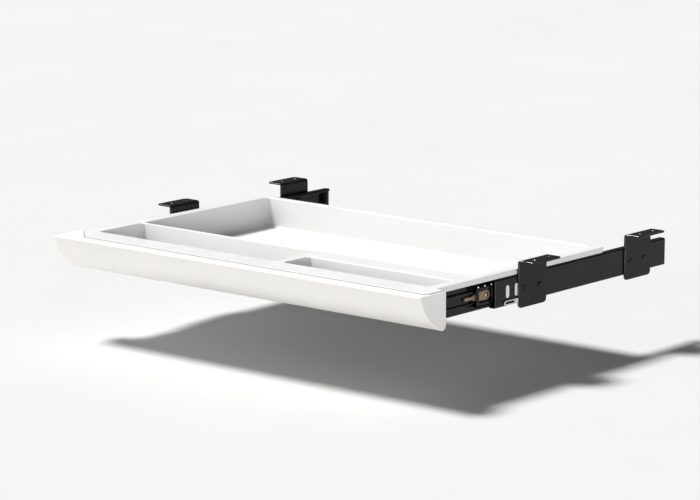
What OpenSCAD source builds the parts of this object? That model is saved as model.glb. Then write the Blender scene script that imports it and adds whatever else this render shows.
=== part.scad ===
// Shallow pen drawer that hangs under a desktop on two three-part ball slides.
// Millimetres. +X is the user's right, +Y goes back under the desk, +Z is up.
// Z = 0 is the underside of the desktop. X = 0, Y = 0 is the middle of the eight desk screws.
// The drawer is drawn pulled out by pulled_out, as it stands at rest.

/* [Drawer] */
// Width of the drawer over its front lip
drawer_w = 600; // [500:10:700]
// How far the drawer stands pulled out
pulled_out = 110; // [60:5:200]
// Front edge of the lip, measured from the desk screws' centre, when the drawer is shut
shut_front_y = -232.5; // [-250:0.5:-225]
// Depth of the tray, from the front edge of the lip to its back wall
tray_d = 380; // [300:5:420]
// Height of the tray from its rim to its underside
tray_h = 43; // [38:1:60]
// Gap between the desktop and the tray's rim
rim_drop = 10; // [6:0.5:14]
// Wall, floor and flange thickness of the moulded tray
wall = 3; // [2:0.5:4]

/* [Compartments] */
// Depth of the pen compartment, front to back
pen_d = 80; // [60:1:110]
// Depth of the small compartment, front to back
clip_d = 48; // [36:1:60]
// Middle of the divider, measured to the right of the drawer's centre
divider_x = 37; // [-60:1:60]
// Width of the divider's top
divider_w = 12; // [9:1:20]

/* [Front lip] */
// Depth of the lip, front to back
lip_d = 49; // [46:0.5:52]
// Height of the lip
lip_h = 49; // [45:0.5:52]
// Radius of the lip's curved front
lip_r = 66.7; // [60:0.1:80]
// Radius of the lip's lower back edge
lip_corner_r = 8; // [4:0.5:10]
// Width of the smooth strip along the lip's top edge
lip_strip = 15; // [10:0.5:20]
// How far that strip stands below the tray's rim
lip_step = 1; // [0:0.25:2]

/* [Slides] */
// Length of a slide section
rail_l = 350; // [340:5:380]
// Full travel of the drawer, from shut to wide open
travel = 300; // [260:5:300]
// Height of a slide
rail_h = 35; // [35:1:45]
// Middle of the slides below the desktop
rail_drop = 35; // [35:0.5:45]
// Thickness of the rails' steel
steel = 1.2; // [1:0.1:1.4]

/* [Hangers] */
// Front to back length of a hanger
hanger_l = 56; // [50:1:60]
// Height of a hanger
hanger_h = 59; // [58:1:80]
// Distance from the desk screws' centre to the middle of a hanger
hanger_y = 110.5; // [95:0.5:115]
// Spacing of the two holes in one hanger
hole_pitch = 28; // [20:1:32]
// Diameter of the desk screw holes
hole_d = 5; // [4:0.5:6]

/* [Hidden] */
$fn = 48;

// Drawer frame: dy() turns a distance behind the lip's front edge into Y at rest.
front_y = shut_front_y - pulled_out;
rim_z = -rim_drop;
tray_z = rim_z - tray_h;
half_w = drawer_w / 2;
slide_t = 12.7;             // thickness of a slide
lip_past_slide = 13;        // how far the lip's end stands past the slide
side_x = half_w - lip_past_slide - slide_t;  // outer face of the steel plate on the tray's side
side_plate_t = 1.2;
wall_x = side_x - side_plate_t;              // outer face of the tray's side wall
hang_x = side_x + slide_t;  // outer face of the slide
flange_x = hang_x - 1.5;    // outer edge of the tray's side flange
function dy(y) = front_y + y;

// Lip and tray
fit_gap = 0.8;              // groove between the tray's front flange and the lip
eps = 1;                    // how far a cut runs past a face
lip_back = lip_d + 0.2;     // front face of the tray's front wall
lip_c = [64.75, 15];        // centre of the lip's curve, behind and above its front edge
ledge_z = rim_z - wall - 0.2;
lip_bays = 12;
lip_rib = 2;
boss_r = 4.2;
boss_z = rim_z - 20;
lip_screw_x = [-240, -105, 105, 240];
lip_screw_l = 16;
pocket_r = 10;
store_r = 8;
back_r = 6;
pen_y = lip_back + wall;            // front of both small compartments
part_y = pen_y + pen_d;             // front face of the cross partition
skirt_h = 7;                        // height of the flange's down-turned edge
skirt_t = 2.5;
back_flange = 6;
left_mitre = 33;                    // cut corners of the flange, where it meets the lip's top
right_mitre = 6;

// Hangers
plate_t = 2;
hanger_w = 25;                      // width of the flange under the desktop
tab = [48, 6];                      // slotted tab in front of a front hanger
tab_slot = [18, 2.6];
tab_v = -13.2;
tab_reach = 4.5;                     // middle of the tab in front of the plate's edge
tab_slot_reach = 17;

// Slide sections. u is measured outwards from the tray's side wall, v up from the slide's middle.
channel = rail_h / 2 - steel;       // half height inside the outer rail
outer_ball_r = 2;
inner_ball_r = 1.6;
play = 0.05;                        // running play between a ball and its track
outer_ball_v = channel - play - outer_ball_r;
mid_top = outer_ball_v - outer_ball_r - 2 * play;
mid_in = mid_top - steel;
inner_ball_v = mid_in - play - inner_ball_r;
in_top = inner_ball_v - inner_ball_r - play;
outer_ball_u = 7.7;
inner_ball_u = 3.5;
outer_u = [2.7, slide_t];
outer_lip_h = 2.5;                  // turned-in edges of the outer rail
mid_u = [0.7, 9.7];
mid_web = [6.5, 6.5 + steel];
mid_lip_h = 0.85;                   // turned-in edges of the middle rail
in_u = [0, 4.7];
outer_cage_u = [4.7, 11.1];
outer_cage_t = 0.8;
inner_cage_u = [1.3, 6.1];
inner_cage_t = 0.6;
buffer_u = [8.6, slide_t - steel];
buffer_v = 9.6;
bumper_u = [4.2, slide_t - steel];
bumper_v = channel - 2.9;
bumper_gap = 0.5;                   // from the shut middle rail to the rear bumper

// Slide positions, front to back
rail_y = -rail_l / 2 - 7.5;         // front end of the outer rail
outer_l = rail_l + 6;
mid_short = 25;                     // how much shorter the middle rail is at its front
mid_l = rail_l - mid_short;
mid_y = rail_y + mid_short - pulled_out / 2;
in_y = rail_y - pulled_out;
buffer_y = [rail_y + 20, rail_y + 51];
slot_w = 6.5;
slot_h = 16;
slot_y = [rail_y + 24.5, rail_y + 42.2];
outer_cage_l = 145;
outer_cage_y = buffer_y[1] + 1 + (travel - pulled_out) / 4;
inner_cage_l = 150;
inner_cage_y = rail_y + 109.5 - pulled_out * 0.75;
ball_count = 9;
ball_pitch = 15.5;
screw_r = 1.75;
head_r = 3.3;
head_t = 2.2;
rail_screw_y = [in_y + 18, in_y + 172, in_y + 332];

// Middle rail's window and the three studs that end its upper ball track
window = [25, 15];
window_y = mid_y + 5;
stud_y = [mid_y + 2.5, mid_y + 15.3, mid_y + 28.1];
stud_r = 1.5;
stud_h = 2.1;

// Release lever in the inner rail
lever_pivot_y = in_y + 104;
lever_l = 42;
lever_tab = 12;
lever_eye_r = 6.2;
lever_waist = 4.8;                  // half height at the lever's middle
lever_neck = 1.3;                   // half height where the thumb tab starts
lever_tab_v = 2;                    // half height of the thumb tab
lever_u = [1.8, 4.3];
lever_gap = 0.1;                    // between the lever and the rivet's shoulder and head
lever_pin_r = 2;
rivet_head_r = 3;
rivet_head_t = 0.6;

// Builds the right-hand piece, or its mirror image on the left.
module on_side(right) {
    if (right) children();
    else mirror([1, 0, 0]) children();
}

// Runs a section, drawn in u and v, along Y beside the tray's right wall.
module run(y, length)
    translate([side_x, y + length, -rail_drop]) rotate([90, 0, 0])
        linear_extrude(length) children();

// A channel from u0 to u1, v high to each side, open towards the tray or, if out is true, away from it.
module channel_section(u, v, t, out = false)
    difference() {
        web(u, v);
        web(out ? [u[0] + t, u[1] + eps] : [u[0] - eps, u[1] - t], v - t);
    }

// The same channel with its edges turned in by lip, open towards the tray.
module lipped_channel(u, v, t, lip)
    difference() {
        web(u, v);
        web([u[0] + t, u[1] - t], v - t);
        web([u[0] - eps, u[0] + t + eps], v - t - lip);
    }

// A rectangle from u0 to u1, at v0 to v1 above and again below the slide's middle.
module both(u, v) {
    for (s = [0, 1]) mirror([0, s]) translate([u[0], v[0]]) square([u[1] - u[0], v[1] - v[0]]);
}

// A rectangle from u0 to u1 that reaches v to each side of the slide's middle.
module web(u, v) translate([u[0], -v]) square([u[1] - u[0], 2 * v]);

// A cylinder along X beside the tray's wall, from u0 to u1.
module pin(u, y, v, r)
    translate([side_x + u[0], y, v - rail_drop]) rotate([0, 90, 0])
        cylinder(h = u[1] - u[0], r = r);

// A slot through the slide's thickness, w long along Y and h high.
module slot(u, y, v, w, h)
    for (k = [-1, 1])
        if (h > w) {
            pin(u, y, v + k * (h - w) / 2, w / 2);
            translate([side_x + u[0], y - w / 2, v - rail_drop - (h - w) / 2]) cube([u[1] - u[0], w, h - w]);
        } else {
            pin(u, y + k * (w - h) / 2, v, h / 2);
            translate([side_x + u[0], y - (w - h) / 2, v - rail_drop - h / 2]) cube([u[1] - u[0], w - h, h]);
        }

// A rectangle with round corners, from corner a to corner b.
module round_rect(a, b, r) {
    translate([a[0] + r, a[1]]) square([b[0] - a[0] - 2 * r, b[1] - a[1]]);
    translate([a[0], a[1] + r]) square([b[0] - a[0], b[1] - a[1] - 2 * r]);
    for (x = [a[0] + r, b[0] - r], y = [a[1] + r, b[1] - r]) translate([x, y]) circle(r = r);
}

// ---- Hangers, fixed to the desk ----

module hanger_plate(y, tabbed) {
    plate = [slide_t, slide_t + plate_t];
    through = [plate[0] - eps, plate[1] + eps];
    front = y - hanger_l / 2;
    difference() {
        union() {
            translate([side_x + plate[0], front, -hanger_h]) cube([plate_t, hanger_l, hanger_h]);
            translate([side_x + plate[0], front, -plate_t]) cube([hanger_w, hanger_l, plate_t]);
            if (tabbed) slot(plate, front - tab_reach, tab_v, tab[0], tab[1]);
        }
        for (k = [-1, 1]) {
            translate([half_w, y + k * hole_pitch / 2, -plate_t - eps])
                cylinder(h = plate_t + 2 * eps, d = hole_d);
            pin(through, y + k * hole_pitch / 2, 0, screw_r);
        }
        if (tabbed) slot(through, front - tab_slot_reach, tab_v, tab_slot[0], tab_slot[1]);
    }
}

module hanger(right, front) {
    color([0.07, 0.07, 0.08]) on_side(right) hanger_plate(front ? -hanger_y : hanger_y, front);
}

module hanger_screws(right) {
    seat = slide_t + plate_t;
    color([0.12, 0.12, 0.13]) on_side(right)
        for (y = [-hanger_y, hanger_y], k = [-1, 1]) {
            pin([slide_t - steel, seat], y + k * hole_pitch / 2, 0, screw_r);
            pin([seat, seat + head_t], y + k * hole_pitch / 2, 0, head_r);
        }
}

// ---- Outer rails, fixed to the hangers ----

module outer_rail(right) {
    through = [slide_t - steel - eps, slide_t + eps];
    color([0.1, 0.1, 0.11]) on_side(right) difference() {
        run(rail_y, outer_l) lipped_channel(outer_u, rail_h / 2, steel, outer_lip_h);
        for (y = slot_y) slot(through, y, 0, slot_w, slot_h);
        for (y = [-hanger_y, hanger_y], k = [-1, 1]) pin(through, y + k * hole_pitch / 2, 0, screw_r);
    }
}

// Nylon block in the outer rail that stops the ball cage. Its two tabs fill the rail's slots.
module front_buffer(right) {
    color([0.95, 0.95, 0.93]) on_side(right) {
        run(buffer_y[0], buffer_y[1] - buffer_y[0]) web(buffer_u, buffer_v);
        for (y = slot_y) slot([slide_t - steel, slide_t], y, 0, slot_w, slot_h);
    }
}

// Rubber stop at the back end of the outer rail, behind the shut middle rail.
module rear_bumper(right) {
    color([0.15, 0.15, 0.15]) on_side(right)
        run(rail_y + rail_l + bumper_gap, outer_l - rail_l - bumper_gap) web(bumper_u, bumper_v);
}

// ---- Ball cages and balls ----

module cage(y, length, u, v, t, ball_u, ball_hole) {
    difference() {
        run(y, length) channel_section(u, v + t / 2, t);
        for (i = [0 : ball_count - 1], s = [-1, 1])
            translate([side_x + ball_u, ball_place(y, length, i), s * v - rail_drop - t])
                cylinder(h = 2 * t, r = ball_hole);
    }
}

function ball_place(y, length, i) = y + length / 2 + (i - (ball_count - 1) / 2) * ball_pitch;

module balls(y, length, u, v, r)
    for (i = [0 : ball_count - 1], s = [-1, 1])
        translate([side_x + u, ball_place(y, length, i), s * v - rail_drop]) sphere(r = r);

module outer_cage(right) {
    color([0.75, 0.76, 0.78]) on_side(right)
        cage(outer_cage_y, outer_cage_l, outer_cage_u, outer_ball_v, outer_cage_t, outer_ball_u,
            outer_ball_r + play);
}

module outer_balls(right) {
    color([0.85, 0.86, 0.88]) on_side(right)
        balls(outer_cage_y, outer_cage_l, outer_ball_u, outer_ball_v, outer_ball_r);
}

module inner_cage(right) {
    color([0.75, 0.76, 0.78]) on_side(right)
        cage(inner_cage_y, inner_cage_l, inner_cage_u, inner_ball_v, inner_cage_t, inner_ball_u,
            inner_ball_r + play);
}

module inner_balls(right) {
    color([0.85, 0.86, 0.88]) on_side(right)
        balls(inner_cage_y, inner_cage_l, inner_ball_u, inner_ball_v, inner_ball_r);
}

// ---- Middle rails ----

module middle_rail(right) {
    through = [mid_web[0] - eps, mid_web[1] + eps];
    color([0.1, 0.1, 0.11]) on_side(right) {
        difference() {
            run(mid_y, mid_l) {
                web(mid_web, mid_top);
                both(mid_u, [mid_in, mid_top]);
                both([mid_u[0], mid_u[0] + steel], [mid_in - mid_lip_h, mid_in + steel / 2]);
            }
            translate([side_x + through[0], window_y, -rail_drop - window[1] / 2])
                cube([through[1] - through[0], window[0], window[1]]);
        }
        for (y = stud_y) translate([side_x + outer_ball_u, y, mid_top - steel / 2 - rail_drop])
            cylinder(h = stud_h + steel / 2, r = stud_r);
    }
}

// ---- Inner rails, screwed to the tray ----

module inner_rail(right) {
    color([0.1, 0.1, 0.11]) on_side(right) difference() {
        run(in_y, rail_l) channel_section(in_u, in_top, steel, true);
        for (y = rail_screw_y) pin([-eps, steel + eps], y, 0, screw_r);
        pin([-eps, steel + eps], lever_pivot_y, 0, lever_pin_r);
    }
}

// Steel plate between the slide and the tray's side wall.
module side_plate(right) {
    color([0.1, 0.1, 0.11]) on_side(right) difference() {
        run(in_y, dy(tray_d) - back_r - eps - in_y) web([-side_plate_t, 0], rail_h / 2);
        for (y = rail_screw_y) pin([-side_plate_t - eps, eps], y, 0, screw_r);
    }
}

module rail_screws(right) {
    color([0.8, 0.8, 0.82]) on_side(right)
        for (y = rail_screw_y) {
            pin([-wall - side_plate_t, steel], y, 0, screw_r);
            pin([steel, steel + head_t], y, 0, head_r);
        }
}

// Lever that frees the inner rail. It tapers forward from its pivot to a thumb tab.
module release_lever(right) {
    color([0.36, 0.26, 0.17]) on_side(right) difference() {
        union() {
            translate([side_x + lever_u[0], 0, -rail_drop]) rotate([90, 0, 90])
                linear_extrude(lever_u[1] - lever_u[0]) union() {
                    for (s = [0, 1]) mirror([0, s]) polygon([
                        [lever_pivot_y, -eps], [lever_pivot_y, lever_eye_r],
                        [lever_pivot_y - lever_l / 2, lever_waist],
                        [lever_pivot_y - lever_l + lever_tab, lever_neck],
                        [lever_pivot_y - lever_l + lever_tab, -eps]
                    ]);
                    translate([lever_pivot_y - lever_l, -lever_tab_v]) square([lever_tab, 2 * lever_tab_v]);
                }
            pin(lever_u, lever_pivot_y, 0, lever_eye_r);
        }
        pin([lever_u[0] - eps, lever_u[1] + eps], lever_pivot_y, 0, lever_pin_r + play);
    }
}

module lever_rivet(right) {
    head_u = lever_u[1] + lever_gap;
    color([0.8, 0.8, 0.82]) on_side(right) {
        pin([0, head_u], lever_pivot_y, 0, lever_pin_r);
        pin([steel, lever_u[0] - lever_gap], lever_pivot_y, 0, rivet_head_r);
        pin([head_u, head_u + rivet_head_t], lever_pivot_y, 0, rivet_head_r);
    }
}

// ---- Tray ----

// Outline of the flange, seen from above. gap widens it, for the recess in the lip's top.
module flange_outline(gap, back) {
    left = -half_w + wall + 4;
    right = half_w - wall;
    front = dy(lip_strip + fit_gap);
    polygon([
        [left + left_mitre - gap, front - gap], [right - right_mitre + gap, front - gap],
        [right + gap, front + right_mitre - gap], [right + gap, dy(lip_d)],
        [flange_x + gap, dy(lip_d)], [flange_x + gap, back], [-flange_x - gap, back],
        [-flange_x - gap, dy(lip_d)], [left - gap, dy(lip_d)], [left - gap, front + left_mitre - gap]
    ]);
}

module compartment(a, b, r, floor_z)
    translate([0, 0, floor_z]) linear_extrude(-floor_z) round_rect(a, b, r);

module tray() {
    inside_x = wall_x - wall;
    floor_z = tray_z + wall;
    divider = [divider_x - divider_w / 2, divider_x + divider_w / 2];
    color([0.95, 0.95, 0.96]) difference() {
        union() {
            translate([0, 0, tray_z]) linear_extrude(tray_h)
                round_rect([-wall_x, dy(lip_back)], [wall_x, dy(tray_d)], back_r);
            translate([0, 0, rim_z - wall]) linear_extrude(wall) flange_outline(0, dy(tray_d + back_flange));
            for (s = [0, 1]) mirror([s, 0, 0])
                translate([flange_x - skirt_t, dy(lip_d + 1), rim_z - skirt_h])
                    cube([skirt_t, tray_d + back_flange - lip_d - 1, skirt_h]);
        }
        compartment([-inside_x, dy(part_y + wall)], [inside_x, dy(tray_d - wall)], store_r, floor_z);
        compartment([-inside_x, dy(pen_y)], [divider[0], dy(part_y)], pocket_r, floor_z);
        compartment([divider[1], dy(pen_y)], [inside_x, dy(pen_y + clip_d)], pocket_r, floor_z);
        // Hollows under the ledge behind the small compartment and under the divider
        translate([divider[1] + wall, dy(pen_y + clip_d + wall), tray_z - eps])
            cube([inside_x - divider[1] - wall, pen_d - clip_d - 2 * wall, tray_h - wall + eps]);
        translate([divider[0] + wall, dy(pen_y), tray_z - eps])
            cube([divider_w - 2 * wall, pen_d - wall, tray_h - wall + eps]);
        for (x = lip_screw_x) translate([x, dy(pen_y) + eps, boss_z]) rotate([90, 0, 0])
            cylinder(h = wall + 2 * eps, r = screw_r);
        for (s = [0, 1], y = rail_screw_y) mirror([s, 0, 0])
            pin([-wall - side_plate_t - eps, eps], y, 0, screw_r);
    }
}

// ---- Front lip ----

// The lip's section, inset by t. x runs back from the front edge, y up from the desktop.
module lip_section(t) {
    bottom = rim_z - lip_h;
    intersection() {
        translate([lip_c[0], rim_z + lip_c[1]]) circle(r = lip_r - t);
        union() {
            translate([0, bottom + lip_corner_r]) square([lip_d - t, lip_h - lip_step - lip_corner_r - t]);
            translate([0, bottom + t]) square([lip_d - lip_corner_r, lip_h - lip_step - 2 * t]);
            translate([lip_d - lip_corner_r, bottom + lip_corner_r]) circle(r = lip_corner_r - t);
        }
    }
}

module lip_bay_section() {
    difference() {
        union() {
            lip_section(wall);
            translate([lip_d - wall - eps, rim_z - lip_h + lip_corner_r]) square([wall + 2 * eps, lip_h]);
        }
        translate([-eps, ledge_z - wall]) square([lip_d + 3 * eps, wall + rim_drop]);
    }
}

// Runs a section along X, from x0 to x1, behind the lip's front edge.
module across(x0, x1)
    translate([x0, front_y, 0]) rotate([90, 0, 90]) linear_extrude(x1 - x0) children();

module lip_boss(r, y0)
    for (x = lip_screw_x) translate([x, dy(lip_d), boss_z]) rotate([90, 0, 0])
        cylinder(h = lip_d - y0, r = r);

module front_lip() {
    bay = (drawer_w - 2 * wall + lip_rib) / lip_bays;
    color([0.93, 0.92, 0.89]) difference() {
        across(-half_w, half_w) lip_section(0);
        difference() {
            for (i = [0 : lip_bays - 1])
                across(-half_w + wall + i * bay, -half_w + wall + (i + 1) * bay - lip_rib) lip_bay_section();
            lip_boss(boss_r, lip_c[0] - lip_r + wall);
        }
        lip_boss(screw_r, lip_d / 2);
        translate([0, 0, ledge_z]) linear_extrude(-ledge_z) flange_outline(fit_gap, dy(lip_d + eps));
    }
}

module lip_screws() {
    color([0.8, 0.8, 0.82]) for (x = lip_screw_x) translate([x, dy(pen_y), boss_z]) {
        rotate([-90, 0, 0]) cylinder(h = head_t, r = head_r);
        rotate([90, 0, 0]) cylinder(h = lip_screw_l, r = screw_r);
    }
}

hanger(true, true);  // right_front_hanger
hanger(false, true);  // left_front_hanger
hanger(true, false);  // right_rear_hanger
hanger(false, false);  // left_rear_hanger
hanger_screws(true);  // right_hanger_screws
hanger_screws(false);  // left_hanger_screws
outer_rail(true);  // right_outer_rail
outer_rail(false);  // left_outer_rail
front_buffer(true);  // right_front_buffer
front_buffer(false);  // left_front_buffer
rear_bumper(true);  // right_rear_bumper
rear_bumper(false);  // left_rear_bumper
outer_cage(true);  // right_outer_cage
outer_cage(false);  // left_outer_cage
outer_balls(true);  // right_outer_balls
outer_balls(false);  // left_outer_balls
middle_rail(true);  // right_middle_rail
middle_rail(false);  // left_middle_rail
inner_cage(true);  // right_inner_cage
inner_cage(false);  // left_inner_cage
inner_balls(true);  // right_inner_balls
inner_balls(false);  // left_inner_balls
inner_rail(true);  // right_inner_rail
inner_rail(false);  // left_inner_rail
side_plate(true);  // right_side_plate
side_plate(false);  // left_side_plate
rail_screws(true);  // right_rail_screws
rail_screws(false);  // left_rail_screws
release_lever(true);  // right_release_lever
release_lever(false);  // left_release_lever
lever_rivet(true);  // right_lever_rivet
lever_rivet(false);  // left_lever_rivet
tray();
front_lip();
lip_screws();
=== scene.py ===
"""Looks of the under desk pen drawer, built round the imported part.

Sizes in this script are millimetres until a mesh is made, and then metres. u and v are a slide's
own axes: u runs outwards from the tray's side wall, v runs up from the slide's middle.
"""
import math

import bmesh
import bpy
from mathutils import Matrix, Vector, geometry


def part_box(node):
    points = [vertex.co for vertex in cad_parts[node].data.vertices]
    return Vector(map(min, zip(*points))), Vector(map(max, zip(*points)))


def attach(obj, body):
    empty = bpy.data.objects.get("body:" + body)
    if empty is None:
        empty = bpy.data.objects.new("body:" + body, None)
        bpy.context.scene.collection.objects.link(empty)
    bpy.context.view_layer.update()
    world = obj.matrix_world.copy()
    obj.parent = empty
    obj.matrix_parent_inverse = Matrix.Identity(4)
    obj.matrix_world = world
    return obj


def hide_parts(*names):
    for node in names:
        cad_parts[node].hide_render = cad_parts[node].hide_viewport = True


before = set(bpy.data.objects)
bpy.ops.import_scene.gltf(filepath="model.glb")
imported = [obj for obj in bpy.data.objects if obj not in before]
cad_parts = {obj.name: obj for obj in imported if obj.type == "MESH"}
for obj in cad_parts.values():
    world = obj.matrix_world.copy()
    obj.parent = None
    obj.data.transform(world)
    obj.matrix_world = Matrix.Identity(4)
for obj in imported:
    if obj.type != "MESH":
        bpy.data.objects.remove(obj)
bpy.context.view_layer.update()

MM = 0.001


def box_mm(node):
    low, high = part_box(node)
    return low / MM, high / MM


# ---------------------------------------------------------------- places, from the frame

LIP_LOW, LIP_HIGH = box_mm("front_lip")
TRAY_LOW, TRAY_HIGH = box_mm("tray")
OUTER_LOW, OUTER_HIGH = box_mm("right_outer_rail")
MIDDLE_LOW, MIDDLE_HIGH = box_mm("right_middle_rail")
INNER_LOW, INNER_HIGH = box_mm("right_inner_rail")
HANGER_LOW, HANGER_HIGH = box_mm("right_rear_hanger")

HALF_W = LIP_HIGH.x
FRONT_Y = LIP_LOW.y
RIM_Z = TRAY_HIGH.z
LIP_Z = LIP_HIGH.z
TRAY_Z = TRAY_LOW.z
SIDE_X = INNER_LOW.x
PLATE_T = 1.2
WALL_X = SIDE_X - PLATE_T
FLANGE_X = OUTER_HIGH.x - 1.5
FLANGE_ENDS = (TRAY_LOW.x, TRAY_HIGH.x)
SLIDE_Z = (OUTER_LOW.z + OUTER_HIGH.z) / 2

# Sizes that the frame's boxes don't show
WALL = 3.0
LIP_DEPTH = 49.0
LIP_RADIUS = 66.7
LIP_CENTRE = (64.75, 15.0)    # behind the lip's front edge and above the tray's rim
LIP_STRIP = 15.0
GROOVE = 0.8
LEDGE_DROP = 3.2
TRAY_BACK = TRAY_HIGH.y - 6.0
TRAY_FRONT = FRONT_Y + LIP_DEPTH + 0.2
PEN_FRONT = TRAY_FRONT + WALL
PEN_BACK = PEN_FRONT + 80.0
CLIP_BACK = PEN_FRONT + 48.0
DIVIDER = (31.0, 43.0)
STEEL = 1.2
SLIDE_T = OUTER_HIGH.x - SIDE_X
LIP_SCREW_X = (-240.0, -105.0, 105.0, 240.0)
SCREW_Z = RIM_Z - 20.0
SCREW_R = 1.75
SCREW_HEAD = (3.3, 2.2)       # radius and height
HOLE_PITCH = 28.0
HANGER_Y = 110.5
HANGER_L = 56.0
LEFT_MITRE, RIGHT_MITRE = 33.0, 6.0     # the flange's cut front corners
SKIRT_T, SKIRT_H = 2.5, 7.0             # the flange's down-turned edge
RAIL_HALF = 17.5
SLOT_Y = (24.5, 42.2)                   # behind the outer rail's front end
STUD_Y = (2.5, 15.3, 28.1)              # behind the middle rail's front end
RAIL_SCREW_Y = (18, 172, 332)           # behind the inner rail's front end
LEVER_Y = 104

# How meshes are cleaned
CREASE = 34          # degrees: sharper edges are shaded sharp
WELD = 0.000002      # metres


# ---------------------------------------------------------------- outlines

def arc(centre, radius, start, end, steps):
    """Points on an arc, angles in degrees, both ends included."""
    angles = [math.radians(start + (end - start) * i / steps) for i in range(steps + 1)]
    return [(centre[0] + radius * math.cos(a), centre[1] + radius * math.sin(a)) for a in angles]


def circle(centre, radius, steps=24):
    return arc(centre, radius, 0, 360, steps)[:-1]


def stadium(centre, length, height, steps=8):
    """A slot outline: length along the first axis, height along the second, round at its ends."""
    x, y = centre
    if height > length:
        k, r = (height - length) / 2, length / 2
        return arc((x, y + k), r, 0, 180, steps) + arc((x, y - k), r, 180, 360, steps)
    k, r = (length - height) / 2, height / 2
    return arc((x + k, y), r, -90, 90, steps) + arc((x - k, y), r, 90, 270, steps)


def area(loop):
    return sum(a[0] * b[1] - b[0] * a[1] for a, b in zip(loop, loop[1:] + loop[:1])) / 2


def facing(loop, left=True):
    """The loop with its inside on the left, or on the right."""
    return list(loop) if (area(loop) > 0) == left else list(reversed(loop))


def inset(loop, distance, least_cosine=0.3):
    """Moves every edge of a loop to its left by distance, so a left-handed loop shrinks.
    least_cosine limits how far the point of a sharp corner may run."""
    moved = []
    for before, here, after in zip(loop[-1:] + loop[:-1], loop, loop[1:] + loop[:1]):
        a = Vector((here[0] - before[0], here[1] - before[1])).normalized()
        b = Vector((after[0] - here[0], after[1] - here[1])).normalized()
        na, nb = Vector((-a.y, a.x)), Vector((-b.y, b.x))
        bisector = na + nb
        if bisector.length < 1e-6:
            bisector = na
        bisector.normalize()
        reach = distance / max(bisector.dot(na), least_cosine)
        moved.append((here[0] + bisector.x * reach, here[1] + bisector.y * reach))
    return moved


def rounded(points, radii, steps=5):
    """A closed outline with its corners rounded. radii is one number or one per corner."""
    radii = radii if isinstance(radii, (list, tuple)) else [radii] * len(points)
    loop = []
    neighbours = zip(points[-1:] + points[:-1], points, points[1:] + points[:1], radii)
    for before, here, after, r in neighbours:
        p, a, b = Vector(here), Vector(before) - Vector(here), Vector(after) - Vector(here)
        half = a.angle(b) / 2
        if r <= 0 or abs(half - math.pi / 2) < 1e-3:
            loop.append(tuple(here))
            continue
        a.normalize(), b.normalize()
        middle = (a + b).normalized()
        centre = p + middle * (r / math.sin(half))
        start = (p + a * (r / math.tan(half))) - centre
        end = (p + b * (r / math.tan(half))) - centre
        turn = start.angle_signed(end)
        for i in range(steps + 1):
            c, s = math.cos(-turn * i / steps), math.sin(-turn * i / steps)
            loop.append((centre.x + start.x * c - start.y * s, centre.y + start.x * s + start.y * c))
    return loop


def rectangle(x0, y0, x1, y1):
    return [(x0, y0), (x1, y0), (x1, y1), (x0, y1)]


# ---------------------------------------------------------------- meshes

def new_piece(name, points, faces, materials, face_slots=None, mirrored=False):
    """A Blender object from points in millimetres, with its faces all pointing out."""
    sign = -1 if mirrored else 1
    mesh = bpy.data.meshes.new(name)
    mesh.from_pydata([(sign * p[0] * MM, p[1] * MM, p[2] * MM) for p in points], [], faces)
    if face_slots:
        mesh.polygons.foreach_set("material_index", face_slots)
    for material in materials:
        mesh.materials.append(material)
    piece = bpy.data.objects.new(name, mesh)
    bpy.context.scene.collection.objects.link(piece)
    tidy(piece)
    return piece


def tidy(piece, crease=CREASE):
    """Welds a piece's mesh, points its faces out and shades it smooth up to the crease angle."""
    work = bmesh.new()
    work.from_mesh(piece.data)
    bmesh.ops.remove_doubles(work, verts=work.verts, dist=WELD)
    bmesh.ops.dissolve_degenerate(work, edges=work.edges, dist=WELD)
    bmesh.ops.recalc_face_normals(work, faces=work.faces)
    for face in work.faces:
        face.smooth = True
    work.to_mesh(piece.data)
    work.free()
    piece.data.set_sharp_from_angle(angle=math.radians(crease))


def loft(rings):
    """Points and faces of a closed solid through rings of equal length."""
    count = len(rings[0])
    points = [p for ring in rings for p in ring]
    faces = [tuple(range(count)), tuple(range(len(points) - count, len(points)))]
    for i in range(len(rings) - 1):
        for j in range(count):
            k = (j + 1) % count
            faces.append((i * count + j, i * count + k, (i + 1) * count + k, (i + 1) * count + j))
    return points, faces


AXES = {
    "x": lambda a, b, c: (c, a, b),
    "y": lambda a, b, c: (a, c, b),
    "z": lambda a, b, c: (a, b, c),
}


def prism(name, outline, levels, axis, materials, mirrored=False):
    """A solid whose outline runs along an axis. levels lists (place on the axis, inset there)."""
    outline = facing(outline)
    place = AXES[axis]
    rings = [[place(a, b, at) for a, b in inset(outline, inward)] for at, inward in levels]
    return new_piece(name, *loft(rings), materials, mirrored=mirrored)


def round_ends(low, high, radius, steps=4):
    """Levels of a prism from low to high with both its ends rounded."""
    turn = [math.pi / 2 * i / steps for i in range(steps + 1)]
    first = [(low + radius * (1 - math.sin(t)), radius * (1 - math.cos(t))) for t in reversed(turn)]
    return first + [(high - (at - low), inward) for at, inward in reversed(first)]


def broken_ends(low, high, chamfer=0.2):
    """Levels of a prism from low to high with a small chamfer at both its ends."""
    return [(low, chamfer), (low + chamfer, 0), (high - chamfer, 0), (high, chamfer)]


def rounded_bottom(floor, radius, steps, draft=0.0):
    """The lowest levels of a prism whose bottom edge is round."""
    turn = [math.pi / 2 * i / steps for i in range(steps + 1)]
    return [(floor + radius * (1 - math.cos(t)), draft + radius * (1 - math.sin(t))) for t in turn]


def rolled_rim(top, radius, steps=4, turn=math.radians(60), climb=1.0):
    """The highest levels of a cutter whose rim rolls outwards, and a flare above the top."""
    levels = []
    for i in range(steps + 1):
        t = turn * i / steps
        levels.append((top - radius + radius * math.sin(t), -radius * (1 - math.cos(t))))
    height, inward = levels[-1]
    return levels + [(height + climb, inward - climb * math.tan(turn))]


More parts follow.
